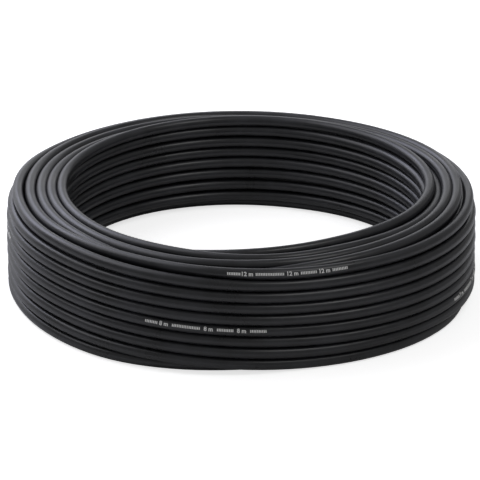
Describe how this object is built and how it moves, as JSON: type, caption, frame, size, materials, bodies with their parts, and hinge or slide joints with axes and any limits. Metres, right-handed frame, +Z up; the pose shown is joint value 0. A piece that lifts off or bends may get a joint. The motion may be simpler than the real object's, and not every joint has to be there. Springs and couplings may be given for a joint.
{
  "type": "soaker hose coil",
  "caption": "Neat round coil of black small-bore irrigation hose, lying flat, with both open ends tucked inside the ring.",
  "frame": {"origin": "on the floor at the centre of the coil", "axes": "+Z up along the coil's axis, -Y towards the coil's front, where the outer turns drop by one place"},
  "size_m": [0.2796, 0.2796, 0.0607],
  "materials": {
    "hose": "satin black extruded polyethylene"
  },
  "bodies": {
    "root": {"hose_coil": "hose", "coil_core": "hose", "inner_end": "hose", "outer_end": "hose"}
  },
  "joints": []
}
